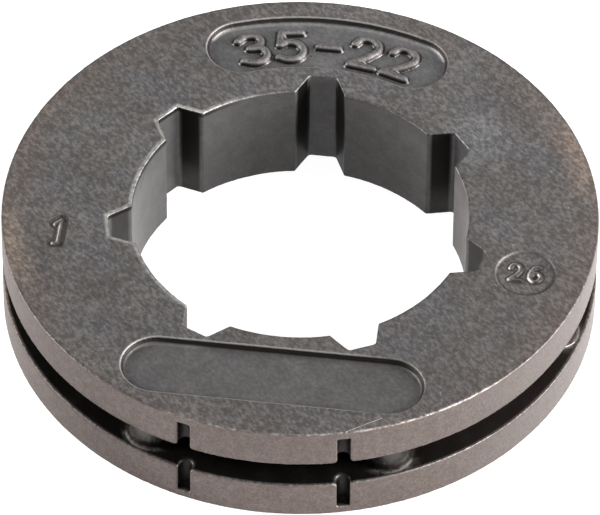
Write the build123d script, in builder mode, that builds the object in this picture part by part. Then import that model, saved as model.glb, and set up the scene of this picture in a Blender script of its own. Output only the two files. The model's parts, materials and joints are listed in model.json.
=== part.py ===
import os
from math import cos, radians, sin, sqrt, tan

from build123d import *

# A rim sprocket for a saw's clutch drum, cast in one piece: two flat flanges with a narrow chain groove
# between them, teeth that stand in the groove, and a splined bore that slides along the drum's hub.
# The origin is on the bore axis at the lower face, +Z runs up the axis, and one tooth points along +Y.
# Lengths are in millimetres and angles in degrees.

# Flanges and chain groove
outer_diameter = 35.0
flange_thickness = 2.54
chain_groove_width = 1.80
rim_edge_break = 0.05

# Teeth, and the wall left between their pockets and the spline grooves
tooth_count = 7
tooth_tip_setback = 0.53
tooth_nose_radius = 1.22
tooth_flank_angle = 24.0
tooth_root_radius = 1.20
tooth_foot_chamfer = 0.32
pocket_wall = 1.20

# Splined bore, with one groove in line with the tooth at +Y
spline_count = 7
bore_diameter = 19.72
spline_diameter = 22.40
spline_floor_width = 1.60
spline_flank_angle = 25.0
spline_corner_radius = 0.20
bore_edge_break = 0.05

# Wear notches in both flanges, a pair about the pocket that faces -Y
notch_width = 0.75
notch_depth = 0.70
notch_spread = 30.7
notch_face_margin = 0.57
notch_corner_radius = 0.25

# Sunk pads on the upper face, a curved one at +Y and a straight one at -Y
pad_depth = 0.42
pad_draft = 25.0
pad_floor_break = 0.10
pad_mouth_break = 0.05
curved_pad_spline_margin = 0.77
curved_pad_rim_margin = 1.36
curved_pad_half_angle = 21.5
straight_pad_spline_margin = 0.36
straight_pad_rim_margin = 2.46
straight_pad_corner_margin = 0.84

# Round mark of a mould insert on the upper face
mark_diameter = 3.55
mark_depth = 0.12
mark_draft = 35.0
mark_spline_margin = 0.97
mark_angle = -12.9

# Radii, heights and directions that follow from those sizes
outer_radius = outer_diameter / 2
bore_radius = bore_diameter / 2
spline_radius = spline_diameter / 2
total_height = 2 * flange_thickness + chain_groove_width
pocket_floor_radius = spline_radius + pocket_wall
tooth_tip_radius = outer_radius - tooth_tip_setback
tooth_direction = 90.0
front_direction = 270.0


def taper_outline(inner_x, outer_x, outer_half_width, flank_angle):
    # Corners of a shape along +X that widens towards the centre by the flank angle on each side
    inner_half_width = outer_half_width + (outer_x - inner_x) * tan(radians(flank_angle))
    return [
        (inner_x, -inner_half_width),
        (outer_x, -outer_half_width),
        (outer_x, outer_half_width),
        (inner_x, inner_half_width),
    ]


def bore_reach(direction):
    # How far the bore's lands and groove floors reach from the axis, measured along one direction
    steps = [tooth_direction + 360 / spline_count * index - direction for index in range(spline_count)]
    half_width = spline_floor_width / 2
    floor_reaches = [
        spline_radius * cos(radians(step)) + half_width * abs(sin(radians(step))) for step in steps
    ]
    return max(bore_radius, *floor_reaches)


with BuildPart() as rim_sprocket:
    # Plain disc with its outer corners broken
    with BuildSketch(Plane.XZ) as disc_section:
        Rectangle(outer_radius, total_height, align=(Align.MIN, Align.MIN))
        chamfer(disc_section.vertices().group_by(Axis.X)[-1], rim_edge_break)
    revolve(axis=Axis.Z)

    # Splined bore: round lands and tapered grooves, with the edges broken at both faces
    groove_start = 2 * bore_radius - spline_radius
    groove_outline = taper_outline(
        groove_start, spline_radius, spline_floor_width / 2, spline_flank_angle
    )
    with BuildSketch() as spline_bore:
        Circle(bore_radius)
        with PolarLocations(0, spline_count, start_angle=tooth_direction):
            Polygon(*groove_outline, align=None)
        fillet(spline_bore.vertices().group_by(SortBy.DISTANCE)[-1], spline_corner_radius)
    extrude(amount=total_height, mode=Mode.SUBTRACT)
    bore_edges = rim_sprocket.edges(Select.LAST).group_by(Axis.Z)
    chamfer(bore_edges[0] + bore_edges[-1], bore_edge_break)

    # Chain space between the flanges, cut round the pocket floors and the round-nosed teeth
    nose_centre = tooth_tip_radius - tooth_nose_radius
    flank_end = nose_centre + tooth_nose_radius * sin(radians(tooth_flank_angle))
    flank_half_width = tooth_nose_radius * cos(radians(tooth_flank_angle))
    tooth_outline = taper_outline(spline_radius, flank_end, flank_half_width, tooth_flank_angle)
    root_radius = min(tooth_root_radius, (tooth_tip_radius - pocket_floor_radius) / 3)
    with BuildSketch(Plane.XY.offset(flange_thickness)) as chain_space:
        Circle(outer_diameter)
        Circle(pocket_floor_radius, mode=Mode.SUBTRACT)
        with PolarLocations(0, tooth_count, start_angle=tooth_direction):
            Polygon(*tooth_outline, align=None, mode=Mode.SUBTRACT)
        with PolarLocations(nose_centre, tooth_count, start_angle=tooth_direction):
            Circle(tooth_nose_radius, mode=Mode.SUBTRACT)
        fillet(chain_space.vertices().group_by(SortBy.DISTANCE)[0], root_radius)
    extrude(amount=chain_groove_width, mode=Mode.SUBTRACT)

    # The teeth and pocket floors spread a little at their feet, where they meet the flanges' inner faces
    inner_faces = rim_sprocket.faces(Select.LAST).filter_by(Axis.Z)
    foot_edges = [edge for face in inner_faces for wire in face.inner_wires() for edge in wire.edges()]
    chamfer(foot_edges, min(tooth_foot_chamfer, chain_groove_width / 4))

    # Wear notches: round-bottomed slots in the rim that stop short of the outer faces
    with BuildSketch(Plane.XY.offset(notch_face_margin)):
        with PolarLocations(
            outer_radius + notch_width, 2, front_direction - notch_spread / 2, 2 * notch_spread
        ):
            SlotOverall(2 * (notch_depth + notch_width), notch_width)
    extrude(amount=total_height - 2 * notch_face_margin, mode=Mode.SUBTRACT)

    # The notches' corners are rounded where they open into the chain groove
    inner_faces = (
        rim_sprocket.faces()
        .filter_by(Axis.Z)
        .filter_by_position(Axis.Z, flange_thickness, flange_thickness + chain_groove_width)
    )
    notch_edges = [
        edge
        for face in inner_faces
        for edge in face.outer_wire().edges()
        if edge.geom_type == GeomType.LINE or edge.radius < notch_width
    ]
    fillet(notch_edges, notch_corner_radius)

    # Curved pad, midway between the spline grooves and the rim
    curved_pad_inner = spline_radius + curved_pad_spline_margin
    curved_pad_outer = outer_radius - curved_pad_rim_margin
    curved_pad_middle = (curved_pad_inner + curved_pad_outer) / 2
    with BuildSketch(Plane.XY.offset(total_height)):
        with BuildLine() as curved_pad_path:
            CenterArc(
                (0, 0),
                curved_pad_middle,
                tooth_direction - curved_pad_half_angle,
                2 * curved_pad_half_angle,
            )
        SlotArc(curved_pad_path.wire(), curved_pad_outer - curved_pad_inner)
    extrude(amount=-pad_depth, taper=pad_draft, mode=Mode.SUBTRACT)
    curved_pad_edges = rim_sprocket.edges(Select.LAST).group_by(Axis.Z)
    chamfer(curved_pad_edges[0], pad_floor_break)
    chamfer(curved_pad_edges[-1], pad_mouth_break)

    # Straight pad, kept clear of the spline grooves and, at its round ends, of the rim
    straight_pad_inner = bore_reach(front_direction) + straight_pad_spline_margin
    straight_pad_outer = outer_radius - straight_pad_rim_margin
    straight_pad_middle = (straight_pad_inner + straight_pad_outer) / 2
    straight_pad_width = straight_pad_outer - straight_pad_inner
    end_reach = outer_radius - straight_pad_corner_margin - straight_pad_width / 2
    end_offset = sqrt(end_reach**2 - straight_pad_middle**2)
    with BuildSketch(Plane.XY.offset(total_height)):
        with Locations((0, -straight_pad_middle)):
            SlotCenterToCenter(2 * end_offset, straight_pad_width)
    extrude(amount=-pad_depth, taper=pad_draft, mode=Mode.SUBTRACT)
    straight_pad_edges = rim_sprocket.edges(Select.LAST).group_by(Axis.Z)
    chamfer(straight_pad_edges[0], pad_floor_break)
    chamfer(straight_pad_edges[-1], pad_mouth_break)

    # Shallow round mark
    with BuildSketch(Plane.XY.offset(total_height)):
        with PolarLocations(spline_radius + mark_spline_margin + mark_diameter / 2, 1, mark_angle):
            Circle(mark_diameter / 2)
    extrude(amount=-mark_depth, taper=mark_draft, mode=Mode.SUBTRACT)

rim_sprocket.part.label = "rim_sprocket"
os.makedirs("parts", exist_ok=True)
export_step(rim_sprocket.part, "parts/rim_sprocket.step")
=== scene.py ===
import json
import math

import bpy
import numpy as np
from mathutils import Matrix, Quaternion, Vector

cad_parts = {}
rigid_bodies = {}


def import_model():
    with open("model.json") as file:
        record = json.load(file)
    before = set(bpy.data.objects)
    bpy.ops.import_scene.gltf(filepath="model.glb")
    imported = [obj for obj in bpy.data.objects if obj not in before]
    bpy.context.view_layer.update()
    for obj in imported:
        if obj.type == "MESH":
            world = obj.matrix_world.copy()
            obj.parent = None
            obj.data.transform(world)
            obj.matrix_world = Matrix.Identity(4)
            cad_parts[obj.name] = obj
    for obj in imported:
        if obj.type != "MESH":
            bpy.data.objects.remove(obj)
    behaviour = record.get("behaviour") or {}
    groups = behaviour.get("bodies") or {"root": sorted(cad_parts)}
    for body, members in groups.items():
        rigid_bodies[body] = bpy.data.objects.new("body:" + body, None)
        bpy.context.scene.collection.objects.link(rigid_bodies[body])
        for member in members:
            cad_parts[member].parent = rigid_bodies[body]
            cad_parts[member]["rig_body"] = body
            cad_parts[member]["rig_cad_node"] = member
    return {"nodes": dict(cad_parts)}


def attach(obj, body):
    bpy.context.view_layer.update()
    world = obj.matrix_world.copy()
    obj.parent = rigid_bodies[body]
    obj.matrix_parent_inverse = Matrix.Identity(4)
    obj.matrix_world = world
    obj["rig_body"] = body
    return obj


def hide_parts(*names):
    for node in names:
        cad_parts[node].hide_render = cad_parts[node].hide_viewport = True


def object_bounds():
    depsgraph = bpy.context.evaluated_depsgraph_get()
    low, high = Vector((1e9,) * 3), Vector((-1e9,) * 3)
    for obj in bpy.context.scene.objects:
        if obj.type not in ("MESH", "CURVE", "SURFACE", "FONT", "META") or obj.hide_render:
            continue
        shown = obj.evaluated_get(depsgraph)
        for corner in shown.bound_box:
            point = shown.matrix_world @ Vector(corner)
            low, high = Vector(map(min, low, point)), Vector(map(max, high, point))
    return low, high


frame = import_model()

cadLow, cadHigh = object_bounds()
mm = 0.001
rimHeight = cadHigh.z / mm          # the rim is worked on at one unit to the millimetre
rimRadius = cadHigh.x / mm


# small helpers
def pickOnly(*objs):
    bpy.ops.object.select_all(action="DESELECT")
    for obj in objs:
        obj.select_set(True)
    bpy.context.view_layer.objects.active = objs[-1]


def useModifier(obj, kind, **values):
    pickOnly(obj)
    mod = obj.modifiers.new(kind.title(), kind)
    for key, value in values.items():
        setattr(mod, key, value)
    bpy.ops.object.modifier_apply(modifier=mod.name)


def joinInto(target, pieces):
    pickOnly(*pieces, target)
    bpy.ops.object.join()
    return target


# raised figures: each is a few strokes on a grid one wide and one high
figureStrokes = {
    "1": [[(0.1, 0.8), (0.6, 1.0)], [(0.6, 1.0), (0.6, 0.0)], [(0.2, 0.0), (0.6, 0.0)]],
    "2": [[(0.0, 0.76), (0.2, 0.96), (0.6, 0.99), (0.9, 0.77), (0.72, 0.45), (0.0, 0.0)],
          [(0.0, 0.0), (1.0, 0.0)]],
    "3": [[(0.02, 0.87), (0.4, 1.0), (0.82, 0.86), (0.76, 0.62), (0.36, 0.54)],
          [(0.36, 0.54), (0.86, 0.46), (0.95, 0.2), (0.5, 0.0), (0.0, 0.13)]],
    "5": [[(0.9, 1.0), (0.18, 1.0)], [(0.18, 1.0), (0.08, 0.56)],
          [(0.08, 0.56), (0.5, 0.65), (0.92, 0.46), (0.9, 0.16), (0.45, 0.0), (0.0, 0.12)]],
    "6": [[(0.8, 0.98), (0.34, 0.85), (0.05, 0.42), (0.14, 0.1), (0.5, 0.0), (0.9, 0.14),
           (0.92, 0.42), (0.52, 0.56), (0.1, 0.38)]],
    "-": [[(0.12, 0.5), (0.88, 0.5)]],
}

figureSettings = {
    "padText": "35-22",       # the rim's own outside and spline diameters
    "padRadius": 13.95,
    "padFloor": 0.42,         # below the upper face
    "padStep": 9.3,           # degrees from one figure to the next
    "padSize": (1.62, 2.26),
    "padStroke": 0.31,
    "markText": "26",
    "markPlace": (13.60, -3.04),
    "markSize": (0.68, 1.2),
    "markStep": 1.15,
    "markStroke": 0.16,
    "markRecess": 0.40,
    "markDepth": 0.24,        # below the upper face
    "faceText": "1",
    "facePlace": (-13.78, -3.28),
    "faceSize": (0.70, 1.9),
    "faceStroke": 0.15,
    "faceRecess": 0.52,       # half width of the tool that sank the face round the stroke
    "faceDepth": 0.17,
    "topGap": 0.02,           # between the small figures' tops and the upper face
    "padMargin": 0.15,        # round the areas that carry figures
    "padHalfLength": 5.9,
    "markReach": 1.68,
    "faceMargin": 0.1,
}


strokeSettings = {"bevelSteps": 4, "ballSegments": 16, "ballRings": 8}


def strokeTube(points, radius):
    ss = strokeSettings
    bpy.ops.object.select_all(action="DESELECT")
    bpy.ops.curve.primitive_bezier_curve_add()
    curve = bpy.context.active_object
    knots = curve.data.splines[0].bezier_points
    knots.add(len(points) - len(knots))
    for knot, point in zip(knots, points):
        knot.co = point
        knot.handle_left_type = "AUTO"
        knot.handle_right_type = "AUTO"
    curve.data.bevel_depth = radius
    curve.data.bevel_resolution = ss["bevelSteps"]
    curve.data.use_fill_caps = True
    bpy.ops.object.convert(target="MESH")
    tube = bpy.context.active_object
    balls = []
    for point in (points[0], points[-1]):          # round ends
        bpy.ops.mesh.primitive_uv_sphere_add(segments=ss["ballSegments"], ring_count=ss["ballRings"],
                                             radius=radius, location=point)
        balls.append(bpy.context.active_object)
    return joinInto(tube, balls)


def figureOnArc(figure, angle, level):
    fs = figureSettings
    width, height = fs["padSize"]
    tubes = []
    for stroke in figureStrokes[figure]:
        points = []
        for u, v in stroke:
            reach = fs["padRadius"] + (v - 0.5) * height
            turn = math.radians(angle) - (u - 0.5) * width / fs["padRadius"]
            points.append((reach * math.cos(turn), reach * math.sin(turn), level))
        tubes.append(strokeTube(points, fs["padStroke"]))
    return tubes


def figureOnFace(figure, place, size, level, radius):
    tubes = []
    for stroke in figureStrokes[figure]:
        points = []
        for u, v in stroke:
            points.append((place[0] + (u - 0.5) * size[0], place[1] + (v - 0.5) * size[1], level))
        tubes.append(strokeTube(points, radius))
    return tubes


def markFigures(level, radius):
    fs = figureSettings
    tubes = []
    middle = (len(fs["markText"]) - 1) / 2
    for index, figure in enumerate(fs["markText"]):
        place = (fs["markPlace"][0] + (index - middle) * fs["markStep"], fs["markPlace"][1])
        tubes += figureOnFace(figure, place, fs["markSize"], level, radius)
    return tubes


def raisedFigures():
    fs = figureSettings
    tubes = []
    middle = (len(fs["padText"]) - 1) / 2
    level = rimHeight - fs["padFloor"]
    for index, figure in enumerate(fs["padText"]):
        tubes += figureOnArc(figure, 90 + (middle - index) * fs["padStep"], level)
    tubes += markFigures(rimHeight - fs["markStroke"] - fs["topGap"], fs["markStroke"])
    level = rimHeight - fs["faceStroke"] - fs["topGap"]
    tubes += figureOnFace(fs["faceText"], fs["facePlace"], fs["faceSize"], level, fs["faceStroke"])
    print("figures raised:", fs["padText"], fs["markText"], fs["faceText"])
    return tubes


def sinkFace(rim):
    # the face is sunk a little round the small figures
    fs = figureSettings
    level = rimHeight + fs["faceRecess"] - fs["faceDepth"]
    tools = figureOnFace(fs["faceText"], fs["facePlace"], fs["faceSize"], level, fs["faceRecess"])
    tools += markFigures(rimHeight + fs["markRecess"] - fs["markDepth"], fs["markRecess"])
    tool = joinInto(tools[0], tools[1:])
    useModifier(tool, "REMESH", mode="VOXEL", voxel_size=rimSettings["voxel"])
    useModifier(rim, "BOOLEAN", operation="DIFFERENCE", object=tool, solver="EXACT")
    pickOnly(tool)
    bpy.ops.object.delete()
    print("face sunk round the figures:", len(rim.data.polygons), "faces")


# the rim, from a copy of the CAD node
rimSettings = {
    "voxel": 0.065,
    "mergeGap": 0.0005,
    "smoothFactor": 0.5,
    "smoothRounds": 2,
    "waveSize": 1.3,         # unevenness of the cast skin
    "waveDepth": 0.018,
    "raggedSize": 0.35,      # and of the edges
    "raggedDepth": 0.03,
    "triangleLimit": 190000,
    "edgeStand": (0.03, 0.15),        # where an edge begins to stand out, and by how much more it is full
    "hollowStand": (0.015, 0.09),     # the same for a corner
    "spreadRounds": 2,
}


def cloudTexture(name, size):
    clouds = bpy.data.textures.new(name, "CLOUDS")
    clouds.noise_scale = size
    clouds.noise_depth = 1
    return clouds


def standOut(rim):
    # how far each vertex stands out from its neighbours: above 0 on edges, below 0 in corners
    mesh = rim.data
    count = len(mesh.vertices)
    co = np.empty(count * 3)
    mesh.vertices.foreach_get("co", co)
    co = co.reshape(-1, 3)
    normal = np.empty(count * 3)
    mesh.vertex_normals.foreach_get("vector", normal)
    normal = normal.reshape(-1, 3)
    ends = np.empty(len(mesh.edges) * 2, np.int64)
    mesh.edges.foreach_get("vertices", ends)
    one, two = ends.reshape(-1, 2).T
    reach = co[one] - co[two]
    reach /= np.linalg.norm(reach, axis=1)[:, None] + 1e-9
    ties = np.bincount(one, minlength=count) + np.bincount(two, minlength=count)
    stand = np.bincount(one, np.einsum("ij,ij->i", reach, normal[one]), count)
    stand -= np.bincount(two, np.einsum("ij,ij->i", reach, normal[two]), count)
    stand /= np.maximum(ties, 1)
    for _ in range(rimSettings["spreadRounds"]):
        spread = np.bincount(one, stand[two], count) + np.bincount(two, stand[one], count)
        stand = 0.5 * stand + 0.5 * spread / np.maximum(ties, 1)
    return stand


def edgeWeights(rim):
    start, span = rimSettings["edgeStand"]
    return np.clip((standOut(rim) - start) / span, 0, 1)


def hollowWeights(rim):
    start, span = rimSettings["hollowStand"]
    return np.clip((-standOut(rim) - start) / span, 0, 1)


def storeGroup(rim, name, weights):
    group = rim.vertex_groups.new(name=name)
    steps = 20          # weights are stored in so many steps
    level = np.round(weights * steps).astype(int)
    for step in range(1, steps + 1):
        group.add(np.flatnonzero(level == step).tolist(), step / steps, "REPLACE")


def storeAttribute(rim, name, weights):
    attribute = rim.data.attributes.new(name, "FLOAT", "POINT")
    attribute.data.foreach_set("value", weights.astype(np.float32))


def plainWeights(rim):
    # 1 all over but for the small areas that carry figures
    fs = figureSettings
    co = np.empty(len(rim.data.vertices) * 3)
    rim.data.vertices.foreach_get("co", co)
    x, y, z = co.reshape(-1, 3).T
    reach = np.hypot(x, y)
    half = fs["padSize"][1] / 2 + fs["padStroke"] + fs["padMargin"]
    carries = (np.abs(reach - fs["padRadius"]) < half) & (np.abs(x) < fs["padHalfLength"]) & (y > 0)
    carries |= np.hypot(x - fs["markPlace"][0], y - fs["markPlace"][1]) < fs["markReach"]
    wide, high = (size / 2 + fs["faceRecess"] + fs["faceMargin"] for size in fs["faceSize"])
    carries |= (np.abs(x - fs["facePlace"][0]) < wide) & (np.abs(y - fs["facePlace"][1]) < high)
    carries &= z > rimHeight - fs["padFloor"] - fs["faceMargin"]
    return 1.0 - carries


def castRim():
    rs = rimSettings
    node = frame["nodes"]["rim_sprocket"]
    pickOnly(node)
    bpy.ops.object.duplicate()
    rim = bpy.context.active_object
    rim.name = "castRim"
    bpy.ops.object.parent_clear(type="CLEAR_KEEP_TRANSFORM")
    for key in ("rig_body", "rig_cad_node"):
        del rim[key]
    rim.data.materials.clear()
    bpy.ops.transform.resize(value=(1 / mm,) * 3)
    bpy.ops.object.transform_apply(scale=True)
    bpy.ops.object.mode_set(mode="EDIT")
    bpy.ops.mesh.select_all(action="SELECT")
    bpy.ops.mesh.remove_doubles(threshold=rs["mergeGap"])
    bpy.ops.object.mode_set(mode="OBJECT")
    pickOnly(rim)
    bpy.ops.object.duplicate()
    skin = bpy.context.active_object
    sinkFace(rim)
    joinInto(rim, raisedFigures())
    useModifier(rim, "REMESH", mode="VOXEL", voxel_size=rs["voxel"])
    useModifier(rim, "SMOOTH", factor=rs["smoothFactor"], iterations=rs["smoothRounds"])
    storeGroup(rim, "plain", plainWeights(rim))
    useModifier(rim, "SHRINKWRAP", target=skin, wrap_method="NEAREST_SURFACEPOINT", vertex_group="plain")
    pickOnly(skin)
    bpy.ops.object.delete()
    print("rim remeshed:", len(rim.data.polygons), "faces")
    storeGroup(rim, "edges", edgeWeights(rim))
    waves = cloudTexture("castWaves", rs["waveSize"])
    ragged = cloudTexture("raggedEdges", rs["raggedSize"])
    useModifier(rim, "DISPLACE", texture=waves, texture_coords="LOCAL", strength=rs["waveDepth"],
                mid_level=1.0)
    useModifier(rim, "DISPLACE", texture=ragged, texture_coords="LOCAL", strength=rs["raggedDepth"],
                mid_level=1.0, vertex_group="edges")
    useModifier(rim, "TRIANGULATE")
    ratio = min(1.0, rs["triangleLimit"] / len(rim.data.polygons))
    useModifier(rim, "DECIMATE", ratio=ratio)
    rim.vertex_groups.clear()
    storeAttribute(rim, "edgeWear", edgeWeights(rim))
    storeAttribute(rim, "hollows", hollowWeights(rim))
    pickOnly(rim)
    bpy.ops.transform.resize(value=(mm,) * 3)
    bpy.ops.object.transform_apply(scale=True)
    bpy.ops.object.shade_smooth()
    print("rim finished:", len(rim.data.polygons), "triangles")
    return rim


# burrs that the turning tool left: one across the rim's near edge, one that hangs into the groove
burrSettings = {
    "radius": 0.03,
    "sunk": 0.03,
    "topGap": 0.005,
    "voxelsPerRadius": 3,
    "rough": 0.45,
    "scratch": ((-66.8, 16.80), (-71.5, 17.12), (-74.2, 17.40)),     # degrees and radius on the upper face
    "sliver": ((-20.8, 4.24), (-18.4, 3.70), (-16.6, 3.36)),         # degrees and height on the rim
}


def edgeBurrs():
    bs = burrSettings
    level = rimHeight - bs["sunk"] - bs["topGap"]
    onFace = []
    for turn, reach in bs["scratch"]:
        turn = math.radians(turn)
        onFace.append((reach * math.cos(turn), reach * math.sin(turn), level))
    onRim = []
    for turn, height in bs["sliver"]:
        turn = math.radians(turn)
        reach = rimRadius - bs["radius"] - bs["sunk"]
        onRim.append((reach * math.cos(turn), reach * math.sin(turn), height))
    tubes = [strokeTube(onFace, bs["radius"]), strokeTube(onRim, bs["radius"])]
    burrs = joinInto(tubes[0], tubes[1:])
    burrs.name = "edgeBurrs"
    useModifier(burrs, "REMESH", mode="VOXEL", voxel_size=bs["radius"] / bs["voxelsPerRadius"])
    pickOnly(burrs)
    bpy.ops.transform.resize(value=(mm,) * 3, center_override=(0, 0, 0))
    bpy.ops.object.transform_apply(location=True, rotation=True, scale=True)
    bpy.ops.object.shade_smooth()
    print("burrs made:", len(burrs.data.polygons), "faces")
    return burrs


# node helpers: a value that is a socket is linked, any other is set
def addNode(tree, kind, values=None, **props):
    node = tree.nodes.new(kind)
    for key, value in props.items():
        setattr(node, key, value)
    for key, value in (values or {}).items():
        if isinstance(value, bpy.types.NodeSocket):
            tree.links.new(value, node.inputs[key])
        else:
            node.inputs[key].default_value = value
    return node


def calc(tree, operation, a, b=0.0):
    return addNode(tree, "ShaderNodeMath", {0: a, 1: b}, operation=operation).outputs[0]


def times(tree, *values):
    made = values[0]
    for value in values[1:]:
        made = calc(tree, "MULTIPLY", made, value)
    return made


def without(tree, value):
    return calc(tree, "SUBTRACT", 1.0, value)


def vectorCalc(tree, operation, vector, other):
    made = addNode(tree, "ShaderNodeVectorMath", {0: vector, 1: other}, operation=operation)
    return made.outputs["Value"]


def scaled(tree, vector, amount):
    return addNode(tree, "ShaderNodeVectorMath", {0: vector, "Scale": amount}, operation="SCALE").outputs[0]


def ramp(tree, value, low, high, start=0.0, end=1.0):
    made = addNode(tree, "ShaderNodeMapRange", {"Value": value, "From Min": low, "From Max": high,
                   "To Min": start, "To Max": end}, interpolation_type="SMOOTHSTEP")
    return made.outputs["Result"]


def noise(tree, place, scale, detail, rough):
    made = addNode(tree, "ShaderNodeTexNoise", {"Vector": place, "Scale": scale, "Detail": detail,
                   "Roughness": rough})
    return made.outputs["Fac"]


def blend(tree, factor, a, b):
    made = addNode(tree, "ShaderNodeMix", {"Factor": factor, "A": a, "B": b}, data_type="RGBA")
    return made.outputs["Result"]


def blendFloat(tree, factor, a, b):
    made = addNode(tree, "ShaderNodeMix", {"Factor": factor, "A": a, "B": b}, data_type="FLOAT")
    return made.outputs["Result"]


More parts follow.
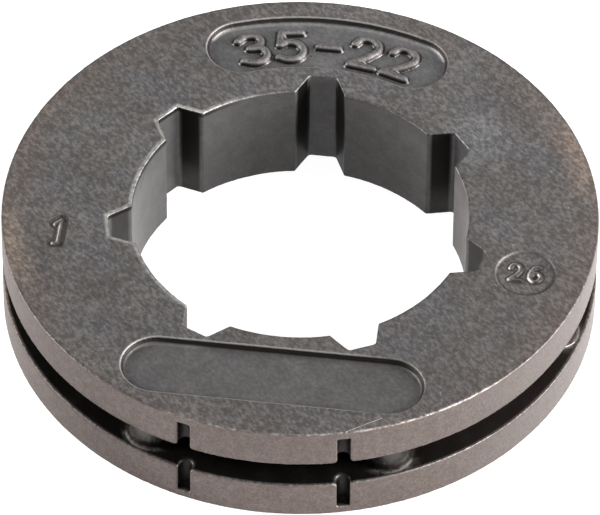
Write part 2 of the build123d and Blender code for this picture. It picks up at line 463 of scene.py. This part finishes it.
steelSettings = {
    "face": (0.094, 0.087, 0.084, 1),
    "blueGrey": (0.096, 0.094, 0.096, 1),
    "brown": (0.112, 0.093, 0.083, 1),
    "rust": (0.185, 0.147, 0.122, 1),
    "pale": (0.134, 0.134, 0.137, 1),
    "padFloor": (0.120, 0.118, 0.120, 1),
    "frontFloor": (0.115, 0.110, 0.109, 1),
    "ground": (0.148, 0.121, 0.110, 1),
    "groundStain": (0.118, 0.094, 0.086, 1),
    "greyGround": (0.138, 0.118, 0.110, 1),
    # painted shade on the rim's dull edges
    "dullShadedEdge": (0.022, 0.019, 0.018, 1),
    "land": (0.127, 0.122, 0.120, 1),
    # painted light: the lands on the right, lighter and warmer
    "warmLitLand": (0.185, 0.167, 0.161, 1),
    "splineFloor": (0.130, 0.126, 0.125, 1),
    # painted shade: the colours of the spline flanks
    "sideFlank": (0.056, 0.054, 0.053, 1),
    "splineFlank": (0.050, 0.048, 0.046, 1),
    "tooth": (0.086, 0.081, 0.078, 1),
    "darkTooth": (0.063, 0.059, 0.057, 1),
    "lipHighlight": (0.310, 0.297, 0.286, 1),        # painted highlight on the rolled edge of the face at the left of the bore
    "boreRadius": 9.86,
    "grooveReach": 11.2,
    "grooveHalfWidth": 0.8,
    "grooveFlare": 25.0,
    "paleGrooves": (141.43, 192.86),        # degrees
    "padHighlight": (0.230, 0.220, 0.216, 1),    # painted highlight on the rounded edges of the pads
    "dark": (0.012, 0.010, 0.009, 1),       # painted shade on spline flanks, under the bore's edge and in corners; also the colour of the pits
    # painted shade inside the notches
    "notch": (0.026, 0.023, 0.021, 1),
    "reliefShading": (0.026, 0.022, 0.020, 1),     # painted shade on the sides of the small figures, and on those that face left
    "litRelief": (0.300, 0.285, 0.275, 1),
    # painted highlight at the foot of each tooth
    "footHighlight": (0.105, 0.096, 0.090, 1),
    # painted shade on the walls of the pads
    "padWall": (0.018, 0.016, 0.015, 1),
    # the groove's dark oxide, darkened further as painted shade
    "scale": (0.003, 0.0025, 0.002, 1),
    "brownScale": (0.012, 0.009, 0.008, 1),
    "bare": (0.38, 0.345, 0.32, 1),
    "burr": (0.48, 0.45, 0.43, 1),
    "grainTurn": 47.0,                      # degrees
    "grainStretch": 0.62,                   # below 1 the grain is longer than wide
    "patch": (9.7, 7.3, 0.0),              # a paler patch beside the spline
    "baredSide": (0.242, -0.970, 0.0),     # where the rim's edge is rubbed bare and carries a painted highlight
    "rustPatches": ((-16.1, -4.9, 0.0), (15.6, 6.6, 0.0)),
    "metallic": 0.88,
    "gloss": (0.5, 0.1),                    # on the faces, and in the groove and on dull edges
    "strengths": {"brown": 0.95, "padFloor": 0.8, "padEven": 0.65, "greyGround": 0.8, "underEdge": 0.85,
                  "padHighlight": 0.55, "corner": 0.75, "dullShadedEdge": 0.85, "bare": 0.6},
    "roughs": {"face": (0.58, 0.46), "pad": 0.36, "padWall": 0.62, "rim": 0.42, "bore": 0.38,
               "groove": 0.7, "figures": 0.6, "edge": 0.62},
    "bumps": {"pad": 0.3, "rim": 0.7, "bore": 0.25, "depth": 0.02},
    "noises": {                             # scale, detail and roughness
        "grain": (5.3, 2.5, 0.6),
        "blueClouds": (0.4, 3.0, 0.55),
        "brownClouds": (3.2, 4.0, 0.65),
        "rustClouds": (1.7, 3.0, 0.6),
        "wideShade": (0.25, 2.0, 0.5),
        "blotchShade": (1.3, 2.0, 0.5),
        "specks": (5.5, 1.0, 0.5),
        "pits": (2.6, 1.0, 0.5),
        "stain": (2.2, 4.0, 0.6),
        "scratches": (7.0, 2.0, 0.5),
        "wideRubbing": (1.2, 3.0, 0.5),
        "fineRubbing": (5.0, 2.0, 0.6),
        "lipClouds": (4.0, 3.0, 0.6),
        "rubbedClouds": (3.0, 4.0, 0.7),
        "rimBump": (9.0, 2.0, 0.5),
        "boreBump": (4.0, 2.0, 0.5),
    },
    "zones": {                              # where a zone starts and is full, and its values there
        "wall": (0.75, 0.5),
        "front": (-10.5, -10.65),
        "boreSide": (11.6, 11.4),
        "onRim": (0.3, 0.15),
        "offRim": (0.1, 0.22),
        "groove": (1.02, 0.9),
        "pocket": (11.6, 11.9),
        "tooth": (15.0, 16.6),
        "steep": (0.985, 0.9),
        "notchFloor": (16.2, 16.5),
        "notchTop": (3.0, 2.9),
        "land": (10.15, 9.95),
        "splineFloor": (10.95, 11.12),
        "nearTop": (0.55, 0.48),
        "faceEdge": (17.25, 17.1),
        "pad": (0.22, 0.32),
        "padSide": (0.9, 0.62),
        "mouthTilt": (0.99, 0.94),
        "mouthSteepest": (0.5, 0.7),
        "mouthDepth": (0.2, 0.1),
        "leftFootStart": (-3.5, -5.0, 0.0, 0.6),
        "leftFootEnd": (-8.3, -7.3),
        "leftFootNear": (-12.9, -12.2),
        "frontHalf": (0.0, -1.0),
        "farFoot": (15.2, 15.5),
        "backHalf": (0.0, 1.0),
        "mouthFade": (4.0, 6.5, 1.0, 0.35),
        "smallNear": (-6.5, -5.5),
        "smallFar": (0.0, -0.5),
        "smallTilt": (0.995, 0.93),
        "ringInner": (1.45, 1.55),
        "ringOuter": (2.2, 2.1),
        "figureSides": (6.2, 5.9),
        "figureBack": (5.0, 6.0),
        "figureReach": (15.35, 15.25),
        "footReach": (16.6, 16.9),
        "footLevel": (0.70, 0.80),
        "blueClouds": (0.42, 0.66, 0.0, 0.75),
        "palePatch": (3.2, 0.5, 0.0, 0.6),
        "brownSides": (0.5, 0.95, 0.35, 1.0),
        "brownReach": (14.6, 17.4),
        "brownClouds": (0.32, 0.65, 0.35, 1.0),
        "rustPatch": (4.5, 1.0),
        "rustReach": (15.7, 16.9),
        "rustClouds": (0.35, 0.6, 0.4, 0.9),
        "frontFloor": (1.0, -1.0),
        "grainShade": (0.33, 0.78, 0.66, 1.70),
        "wideShade": (0.3, 0.7, 0.93, 1.07),
        "blotchShade": (0.3, 0.7, 0.92, 1.08),
        "nearToFar": (-18.0, 18.0, 0.87, 1.05),
        "upperLeftX": (-3.0, -7.0),
        "upperLeftY": (5.0, 9.0),
        "upperLeftShade": (0.0, 1.0, 1.0, 0.95),
        "leftToRight": (-18.0, 18.0, 0.970, 0.985),
        "specks": (0.745, 0.80),
        "speckStrength": (0.0, 1.0, 0.55, 0.15),
        "pits": (0.215, 0.19, 0.0, 0.7),
        "stain": (0.3, 0.75),
        "greyGround": (9.0, 15.0),
        "scratches": (0.3, 0.7, 0.84, 1.16),
        "leftGround": (-16.0, -8.0, 1.08, 0.93),
        "wideRubbing": (0.3, 0.7, 0.92, 1.08),
        "fineRubbing": (0.3, 0.7, 0.93, 1.07),
        "flankHeight": (3.0, 0.6),
        "sideFlank": (4.5, 2.0),
        "warmLitLand": (6.5, 9.0),
        "underEdge": (0.44, 0.26),
        "underEdgeLeft": (-4.0, -7.0),
        "lipWidth": (0.34, 0.12),
        "lipLeft": (-3.5, -7.0),
        "lipClouds": (0.3, 0.6, 0.25, 0.95),
        "brownScale": (5.0, 14.0),
        "darkTooth": (-1.0, 4.0),
        "toothUpright": (0.45, 0.15, 0.25, 1.0),
        "litLeft": (-13.62, -13.74),
        "rightHalf": (0.0, 1.0),
        "litFacing": (0.05, -0.3),
        "ringShade": (12.5, 14.0, 0.15, 0.6),
        "leftBoreX": (-6.0, -7.0),
        "leftBoreY": (7.2, 6.2),
        "boreEdge": (2.0, -5.0, 0.0, 0.34),
        "baredTurn": (0.79, 0.93),
        "offBore": (11.4, 11.6),
        "baredDepth": (1.0, 0.5, 0.35, 1.0),
        "rimEdge": (16.8, 17.1),
        "dullShade": (0.4, 0.05),
        "rubbedClouds": (0.42, 0.58),
        "worn": (0.05, 0.8),
        "roughGrain": (0.3, 0.7),
        "roughTooth": (0.1, 0.4, 0.34, 0.6),
    },
}


def steelMaterial():
    ss = steelSettings
    zones, noises, strengths = ss["zones"], ss["noises"], ss["strengths"]
    roughs, bumps = ss["roughs"], ss["bumps"]
    mat = bpy.data.materials.new("castSteel")
    mat.use_nodes = True
    t = mat.node_tree
    bsdf = t.nodes["Principled BSDF"]
    where = addNode(t, "ShaderNodeTexCoord").outputs["Object"]
    place = scaled(t, where, 1 / mm)
    x, y, z = addNode(t, "ShaderNodeSeparateXYZ", {0: place}).outputs
    flat = addNode(t, "ShaderNodeCombineXYZ", {"X": x, "Y": y}).outputs[0]
    reach = addNode(t, "ShaderNodeVectorMath", {0: flat}, operation="LENGTH").outputs["Value"]
    facing = addNode(t, "ShaderNodeSeparateXYZ", {0: addNode(t, "ShaderNodeNewGeometry").outputs["Normal"]})
    upright = calc(t, "ABSOLUTE", facing.outputs["Z"])
    level = calc(t, "ABSOLUTE", calc(t, "SUBTRACT", z, rimHeight / 2))      # from the middle plane
    depth = calc(t, "SUBTRACT", rimHeight, z)        # below the upper face
    inset = calc(t, "SUBTRACT", rimRadius, reach)    # inside the rim's outline
    worn = addNode(t, "ShaderNodeAttribute", attribute_name="edgeWear").outputs["Fac"]
    hollow = addNode(t, "ShaderNodeAttribute", attribute_name="hollows").outputs["Fac"]

    # zones
    wall = ramp(t, upright, *zones["wall"])
    front = ramp(t, y, *zones["front"])               # where the straight pad reaches in past the splines
    boreSide = times(t, ramp(t, reach, *zones["boreSide"]), without(t, front))
    onRim = times(t, ramp(t, inset, *zones["onRim"]), wall)
    offRim = ramp(t, inset, *zones["offRim"])
    inGroove = times(t, ramp(t, level, *zones["groove"]), offRim)
    inGroove = times(t, inGroove, ramp(t, reach, *zones["pocket"]))
    onTooth = times(t, inGroove, times(t, ramp(t, reach, *zones["tooth"]), wall))
    steep = ramp(t, upright, *zones["steep"])
    inNotch = times(t, times(t, ramp(t, reach, *zones["notchFloor"]), offRim), steep)
    inNotch = times(t, inNotch, ramp(t, level, *zones["notchTop"]))
    inBore = times(t, boreSide, wall)
    onLand = ramp(t, reach, *zones["land"])
    onSplineFloor = ramp(t, reach, *zones["splineFloor"])
    nearTop = ramp(t, depth, *zones["nearTop"])
    onTop = times(t, without(t, boreSide), ramp(t, reach, *zones["faceEdge"]))
    onTop = times(t, onTop, nearTop)
    inPad = times(t, onTop, ramp(t, depth, *zones["pad"]))
    padSide = times(t, onTop, ramp(t, upright, *zones["padSide"]))
    mouth = times(t, ramp(t, upright, *zones["mouthTilt"]), ramp(t, upright, *zones["mouthSteepest"]))
    mouth = times(t, mouth, ramp(t, depth, *zones["mouthDepth"]))
    leftFoot = times(t, ramp(t, x, *zones["leftFootStart"]), ramp(t, x, *zones["leftFootEnd"]))
    leftFoot = times(t, leftFoot, ramp(t, y, *zones["leftFootNear"]))
    leftFoot = times(t, leftFoot, ramp(t, y, *zones["frontHalf"]))
    farFoot = times(t, ramp(t, reach, *zones["farFoot"]), ramp(t, y, *zones["backHalf"]))
    foot = times(t, calc(t, "MAXIMUM", leftFoot, farFoot), inPad)
    mouth = times(t, mouth, ramp(t, x, *zones["mouthFade"]))
    # painted highlight along the pads' mouths and along the corner at their foot
    padHighlight = times(t, onTop, calc(t, "MAXIMUM", mouth, times(t, foot, hollow)))
    # the small figures and the ring round the mark
    small = times(t, ramp(t, y, *zones["smallNear"]), ramp(t, y, *zones["smallFar"]))
    small = times(t, small, ramp(t, upright, *zones["smallTilt"]))
    small = times(t, small, onTop)
    markAway = vectorCalc(t, "DISTANCE", flat, (*figureSettings["markPlace"], 0.0))
    ring = times(t, ramp(t, markAway, *zones["ringInner"]), small)
    ring = times(t, ring, ramp(t, markAway, *zones["ringOuter"]))
    matt = small
    small = calc(t, "SUBTRACT", small, ring)
    padHighlight = times(t, padHighlight, without(t, small))
    onFigure = ramp(t, calc(t, "ABSOLUTE", x), *zones["figureSides"])
    onFigure = times(t, onFigure, ramp(t, y, *zones["figureBack"]))
    onFigure = times(t, onFigure, ramp(t, reach, *zones["figureReach"]))
    padWall = times(t, calc(t, "MAXIMUM", padSide, padHighlight), without(t, onFigure))
    # where the painted highlight at the foot of each tooth goes
    footHighlight = times(t, times(t, inGroove, hollow), ramp(t, reach, *zones["footReach"]))
    footHighlight = times(t, footHighlight, ramp(t, level, *zones["footLevel"]))

    # cast face: streaky grain, bluish in patches and brown towards the rim; the grain's turn and stretch
    # also paint the shading that light from one side gives its bumps
    turned = addNode(t, "ShaderNodeVectorRotate", {"Vector": place, "Angle": math.radians(ss["grainTurn"])},
                     rotation_type="Z_AXIS").outputs[0]
    streaks = addNode(t, "ShaderNodeMapping", {"Vector": turned, "Scale": (ss["grainStretch"], 1, 1)})
    grain = noise(t, streaks.outputs[0], *noises["grain"])
    clouds = noise(t, place, *noises["blueClouds"])
    tint = blend(t, ramp(t, clouds, *zones["blueClouds"]), ss["face"], ss["blueGrey"])
    away = vectorCalc(t, "DISTANCE", flat, ss["patch"])
    tint = blend(t, ramp(t, away, *zones["palePatch"]), tint, ss["pale"])
    sides = ramp(t, calc(t, "DIVIDE", calc(t, "ABSOLUTE", x), reach), *zones["brownSides"])
    brown = times(t, ramp(t, reach, *zones["brownReach"]), sides)
    brown = times(t, brown, ramp(t, noise(t, place, *noises["brownClouds"]), *zones["brownClouds"]))
    brown = times(t, brown, without(t, inPad))
    tint = blend(t, times(t, brown, strengths["brown"]), tint, ss["brown"])
    for spot in ss["rustPatches"]:
        away = vectorCalc(t, "DISTANCE", flat, spot)
        rust = times(t, ramp(t, away, *zones["rustPatch"]), ramp(t, reach, *zones["rustReach"]))
        rust = times(t, rust, ramp(t, noise(t, place, *noises["rustClouds"]), *zones["rustClouds"]))
        tint = blend(t, rust, tint, ss["rust"])
    floor = blend(t, ramp(t, y, *zones["frontFloor"]), ss["padFloor"], ss["frontFloor"])
    tint = blend(t, times(t, inPad, strengths["padFloor"]), tint, floor)
    shade = ramp(t, grain, *zones["grainShade"])
    shade = blendFloat(t, times(t, inPad, strengths["padEven"]), shade, 1.0)
    shade = times(t, shade, ramp(t, noise(t, place, *noises["wideShade"]), *zones["wideShade"]))
    shade = times(t, shade, ramp(t, noise(t, place, *noises["blotchShade"]), *zones["blotchShade"]))
    shade = times(t, shade, ramp(t, y, *zones["nearToFar"]))
    upperLeft = times(t, ramp(t, x, *zones["upperLeftX"]), ramp(t, y, *zones["upperLeftY"]))
    shade = times(t, shade, ramp(t, upperLeft, *zones["upperLeftShade"]))
    shade = times(t, shade, ramp(t, x, *zones["leftToRight"]))
    face = scaled(t, tint, shade)
    speck = ramp(t, noise(t, place, *noises["specks"]), *zones["specks"])
    speck = times(t, speck, ramp(t, inPad, *zones["speckStrength"]))
    face = blend(t, speck, face, ss["bare"])
    face = blend(t, ramp(t, noise(t, place, *noises["pits"]), *zones["pits"]), face, ss["dark"])

    # ground rim, bore, groove, and the painted shade in the hollows
    stain = noise(t, place, *noises["stain"])
    ground = blend(t, ramp(t, stain, *zones["stain"]), ss["groundStain"], ss["ground"])
    right = times(t, ramp(t, x, *zones["greyGround"]), strengths["greyGround"])
    ground = blend(t, right, ground, ss["greyGround"])
    scratches = ramp(t, noise(t, place, *noises["scratches"]), *zones["scratches"])
    # painted light: the ground is lighter at the far left
    scratches = times(t, scratches, ramp(t, x, *zones["leftGround"]))
    ground = scaled(t, ground, scratches)
    rubbing = ramp(t, noise(t, place, *noises["wideRubbing"]), *zones["wideRubbing"])
    rubbing = times(t, rubbing, ramp(t, noise(t, place, *noises["fineRubbing"]), *zones["fineRubbing"]))
    # painted shade on the spline flanks: darkest at the top, lighter low down and towards the front
    flankShade = blend(t, ramp(t, z, *zones["flankHeight"]), ss["dark"], ss["splineFlank"])
    flankShade = blend(t, ramp(t, y, *zones["sideFlank"]), flankShade, ss["sideFlank"])
    # painted light: the lands on the right are lighter and warmer
    land = blend(t, ramp(t, x, *zones["warmLitLand"]), ss["land"], ss["warmLitLand"])
    bore = blend(t, onLand, flankShade, land)
    bore = blend(t, onSplineFloor, bore, ss["splineFloor"])
    bore = scaled(t, bore, rubbing)
    # painted shade: a darker band just under the bore's upper edge, on the left
    underEdge = times(t, ramp(t, depth, *zones["underEdge"]), ramp(t, x, *zones["underEdgeLeft"]))
    bore = blend(t, times(t, underEdge, strengths["underEdge"]), bore, ss["dark"])
    gap = calc(t, "SUBTRACT", reach, ss["boreRadius"])      # from the bore's edge, across the face
    flare = math.radians(ss["grooveFlare"])
    for turn in ss["paleGrooves"]:
        turn = math.radians(turn)
        along = (math.cos(turn), math.sin(turn), 0.0)
        across = (-math.sin(turn), math.cos(turn), 0.0)
        u = vectorCalc(t, "DOT_PRODUCT", flat, along)
        v = vectorCalc(t, "DOT_PRODUCT", flat, across)
        beyond = calc(t, "SUBTRACT", u, ss["grooveReach"])
        beside = calc(t, "SUBTRACT", calc(t, "ABSOLUTE", v), ss["grooveHalfWidth"])
        beside = calc(t, "ADD", beside, times(t, beyond, math.tan(flare)))
        beside = times(t, beside, math.cos(flare))
        gap = calc(t, "MINIMUM", gap, calc(t, "MAXIMUM", beyond, beside))
    # painted highlight along the bore's edge on the left and along the edges of two grooves there
    lipHighlight = times(t, ramp(t, gap, *zones["lipWidth"]), ramp(t, x, *zones["lipLeft"]))
    lipHighlight = times(t, lipHighlight, ramp(t, noise(t, place, *noises["lipClouds"]), *zones["lipClouds"]))
    face = blend(t, times(t, lipHighlight, nearTop), face, ss["lipHighlight"])
    # painted shade on the pads' walls, then a painted highlight on their edges
    colour = blend(t, padSide, face, ss["padWall"])
    colour = blend(t, times(t, padHighlight, strengths["padHighlight"]), colour, ss["padHighlight"])
    colour = blend(t, onRim, colour, ground)
    colour = blend(t, inBore, colour, bore)
    # painted shade inside the notches
    colour = blend(t, inNotch, colour, ss["notch"])
    # the groove: dark oxide, darkened further as painted shade, browner to the right
    scale = blend(t, ramp(t, x, *zones["brownScale"]), ss["scale"], ss["brownScale"])
    colour = blend(t, inGroove, colour, scale)
    tooth = blend(t, ramp(t, x, *zones["darkTooth"]), ss["tooth"], ss["darkTooth"])
    colour = blend(t, times(t, onTooth, ramp(t, upright, *zones["toothUpright"])), colour, tooth)
    # painted light and shade on the small figures by the way their sides face, and painted shade on the
    # right of the mark's ring
    lit = calc(t, "MAXIMUM", ramp(t, x, *zones["litLeft"]), ramp(t, x, *zones["rightHalf"]))
    lit = times(t, lit, ramp(t, facing.outputs["X"], *zones["litFacing"]))
    reliefShading = blend(t, lit, ss["reliefShading"], ss["litRelief"])
    colour = blend(t, small, colour, reliefShading)
    colour = blend(t, times(t, ring, ramp(t, x, *zones["ringShade"])), colour, ss["reliefShading"])
    # painted shade in corners and creases
    corner = times(t, hollow, without(t, foot))
    colour = blend(t, times(t, corner, strengths["corner"]), colour, ss["dark"])
    colour = blend(t, footHighlight, colour, ss["footHighlight"])

    # bare edges, rubbed and painted as highlights: on the near side of the rim and a little at the upper
    # left of the bore; elsewhere dull, with painted shade
    nearSide = vectorCalc(t, "DOT_PRODUCT", flat, ss["baredSide"])
    nearSide = calc(t, "DIVIDE", nearSide, reach)
    leftBore = times(t, ramp(t, x, *zones["leftBoreX"]), ramp(t, y, *zones["leftBoreY"]))
    boreEdge = calc(t, "SUBTRACT", ramp(t, x, *zones["boreEdge"]), leftBore)
    boreEdge = times(t, boreSide, calc(t, "MAXIMUM", boreEdge, 0.0))
    bareAndGlinting = times(t, ramp(t, nearSide, *zones["baredTurn"]), ramp(t, reach, *zones["offBore"]))
    bareAndGlinting = calc(t, "MAXIMUM", bareAndGlinting, boreEdge)
    bareAndGlinting = times(t, bareAndGlinting, ramp(t, depth, *zones["baredDepth"]))
    edge = calc(t, "MAXIMUM", ramp(t, reach, *zones["rimEdge"]), boreSide)
    edge = times(t, worn, edge)
    dullShade = times(t, edge, ramp(t, bareAndGlinting, *zones["dullShade"]))
    colour = blend(t, times(t, dullShade, strengths["dullShadedEdge"]), colour, ss["dullShadedEdge"])
    rubbedAndGlinting = ramp(t, noise(t, place, *noises["rubbedClouds"]), *zones["rubbedClouds"])
    rubbedAndGlinting = times(t, ramp(t, worn, *zones["worn"]), rubbedAndGlinting)
    rubbedAndGlinting = times(t, rubbedAndGlinting, calc(t, "SUBTRACT", bareAndGlinting, calc(t, "MAXIMUM", inGroove, onTop)))
    colour = blend(t, times(t, calc(t, "MAXIMUM", rubbedAndGlinting, 0.0), strengths["bare"]), colour, ss["bare"])

    rough = blendFloat(t, ramp(t, grain, *zones["roughGrain"]), *roughs["face"])
    rough = blendFloat(t, inPad, rough, roughs["pad"])
    rough = blendFloat(t, padWall, rough, roughs["padWall"])
    rough = blendFloat(t, onRim, rough, roughs["rim"])
    rough = blendFloat(t, inBore, rough, roughs["bore"])
    rough = blendFloat(t, inGroove, rough, roughs["groove"])
    rough = blendFloat(t, onTooth, rough, ramp(t, upright, *zones["roughTooth"]))
    rough = blendFloat(t, matt, rough, roughs["figures"])
    rough = blendFloat(t, edge, rough, roughs["edge"])
    rimBump = noise(t, place, *noises["rimBump"])
    boreBump = noise(t, place, *noises["boreBump"])
    bumpHeight = blendFloat(t, inPad, grain, times(t, grain, bumps["pad"]))
    bumpHeight = blendFloat(t, onRim, bumpHeight, times(t, rimBump, bumps["rim"]))
    bumpHeight = blendFloat(t, inBore, bumpHeight, times(t, boreBump, bumps["bore"]))
    bump = addNode(t, "ShaderNodeBump", {"Height": bumpHeight, "Strength": 1.0,
                   "Distance": bumps["depth"] * mm})
    t.links.new(colour, bsdf.inputs["Base Color"])
    t.links.new(rough, bsdf.inputs["Roughness"])
    t.links.new(bump.outputs[0], bsdf.inputs["Normal"])
    gloss = blendFloat(t, calc(t, "MAXIMUM", calc(t, "MAXIMUM", inGroove, dullShade), padWall), *ss["gloss"])
    t.links.new(gloss, bsdf.inputs["Specular IOR Level"])
    bsdf.inputs["Metallic"].default_value = ss["metallic"]
    return mat


def burrMaterial():
    mat = bpy.data.materials.new("bareSteel")
    mat.use_nodes = True
    bsdf = mat.node_tree.nodes["Principled BSDF"]
    bsdf.inputs["Base Color"].default_value = steelSettings["burr"]
    bsdf.inputs["Metallic"].default_value = steelSettings["metallic"]
    bsdf.inputs["Roughness"].default_value = burrSettings["rough"]
    return mat


# floor, lights and camera
stageSettings = {
    "floorSize": 2.0,
    "floorColour": (0.82, 0.82, 0.82, 1),
    "shownWhite": 0.95,      # how much of the floor's white is there before any light falls on it
    "shownShade": (0.25, 0.25, 0.25, 1),
    "mirrorWhite": 0.38,     # and in what the metal mirrors
    "mirrorShade": (0.45, 0.45, 0.45, 1),
    "worldLight": 0.35,
    "floorDrop": 0.00002,
    "nearSide": 0.12,        # the room is darker on the near side, low down
    "nearTurn": (0.1, -0.6),
    "nearRise": (0.8, 0.4),
    "lamps": (               # name, place and size in metres, power in watts
        ("rightLamp", (0.28, -0.02, 0.095), 0.12, 5.1),
        ("leftLamp", (-0.30, -0.01, 0.095), 0.12, 2.7),
    ),
}


def floorMaterial():
    ss = stageSettings
    mat = bpy.data.materials.new("paleFloor")
    mat.use_nodes = True
    t = mat.node_tree
    t.nodes.clear()
    path = addNode(t, "ShaderNodeLightPath").outputs
    plain = addNode(t, "ShaderNodeBsdfDiffuse", {"Color": ss["floorColour"]}).outputs[0]
    made = [plain]
    for white, shade in (("mirrorWhite", "mirrorShade"), ("shownWhite", "shownShade")):
        lit = addNode(t, "ShaderNodeBsdfDiffuse", {"Color": ss[shade]}).outputs[0]
        glow = addNode(t, "ShaderNodeEmission", {"Strength": ss[white]}).outputs[0]
        made.append(addNode(t, "ShaderNodeAddShader", {0: lit, 1: glow}).outputs[0])
    seen = calc(t, "MAXIMUM", path["Is Camera Ray"], path["Is Transmission Ray"])
    mix = addNode(t, "ShaderNodeMixShader", {0: path["Is Glossy Ray"], 1: made[0], 2: made[1]}).outputs[0]
    mix = addNode(t, "ShaderNodeMixShader", {0: seen, 1: mix, 2: made[2]}).outputs[0]
    addNode(t, "ShaderNodeOutputMaterial", {"Surface": mix})
    return mat


def studioWorld():
    ss = stageSettings
    world = bpy.data.worlds.new("studio")
    bpy.context.scene.world = world
    world.use_nodes = True
    t = world.node_tree
    path = addNode(t, "ShaderNodeLightPath").outputs
    way = addNode(t, "ShaderNodeTexCoord").outputs["Generated"]
    ray = addNode(t, "ShaderNodeSeparateXYZ", {0: way}).outputs
    near = times(t, ramp(t, ray["Y"], *ss["nearTurn"]), ramp(t, ray["Z"], *ss["nearRise"]))
    mirrored = blendFloat(t, near, 1.0, ss["nearSide"])
    strength = blendFloat(t, path["Is Glossy Ray"], ss["worldLight"], mirrored)
    seen = calc(t, "MAXIMUM", path["Is Camera Ray"], path["Is Transmission Ray"])
    strength = blendFloat(t, seen, strength, 1.0)
    t.nodes["Background"].inputs["Color"].default_value = (1, 1, 1, 1)
    t.links.new(strength, t.nodes["Background"].inputs["Strength"])


def makeStage():
    bpy.ops.object.select_all(action="DESELECT")
    ss = stageSettings
    bpy.ops.mesh.primitive_plane_add(size=ss["floorSize"], location=(0, 0, -ss["floorDrop"]))
    floor = bpy.context.active_object
    floor.name = "floor"
    floor.data.materials.append(floorMaterial())
    studioWorld()
    aim = Vector((0, 0, rimHeight / 2 * mm))
    for name, place, size, power in ss["lamps"]:
        bpy.ops.object.light_add(type="AREA", location=place)
        lamp = bpy.context.active_object
        lamp.name = name
        lamp.data.shape = "SQUARE"
        lamp.data.size = size
        lamp.data.energy = power
        lamp.rotation_euler = (Vector(place) - aim).to_track_quat("Z", "Y").to_euler()
    print("stage ready")


cameraSettings = {
    "azimuth": 6.7,
    "elevation": 46.867,
    "roll": 0.523,
    "distance": 0.44224,
    "lens": 451.0,
    "sensorWidth": 36,
    "clip": (0.01, 10),
    "imageWidth": 600,
    "shiftPixels": (0.22, -5.05),
}


def makeCamera():
    cs = cameraSettings
    a, e = math.radians(cs["azimuth"]), math.radians(cs["elevation"])
    back = Vector((math.sin(a) * math.cos(e), -math.cos(a) * math.cos(e), math.sin(e)))
    aim = Vector((0, 0, rimHeight / 2 * mm))
    bpy.ops.object.select_all(action="DESELECT")
    bpy.ops.object.camera_add(location=aim + back * cs["distance"])
    camera = bpy.context.active_object
    camera.name = "photoCamera"
    look = (-back).to_track_quat("-Z", "Y")
    camera.rotation_mode = "QUATERNION"
    camera.rotation_quaternion = look @ Quaternion((0, 0, 1), math.radians(cs["roll"]))
    camera.data.sensor_width = cs["sensorWidth"]
    camera.data.lens = cs["lens"]
    camera.data.shift_x = cs["shiftPixels"][0] / cs["imageWidth"]
    camera.data.shift_y = cs["shiftPixels"][1] / cs["imageWidth"]
    camera.data.clip_start, camera.data.clip_end = cs["clip"]
    bpy.context.scene.camera = camera


bpy.context.scene.view_settings.view_transform = "Standard"
rim = castRim()
rim.data.materials.append(steelMaterial())
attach(rim, "root")
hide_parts("rim_sprocket")
burrs = edgeBurrs()
burrs.data.materials.append(burrMaterial())
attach(burrs, "root")
makeStage()
makeCamera()
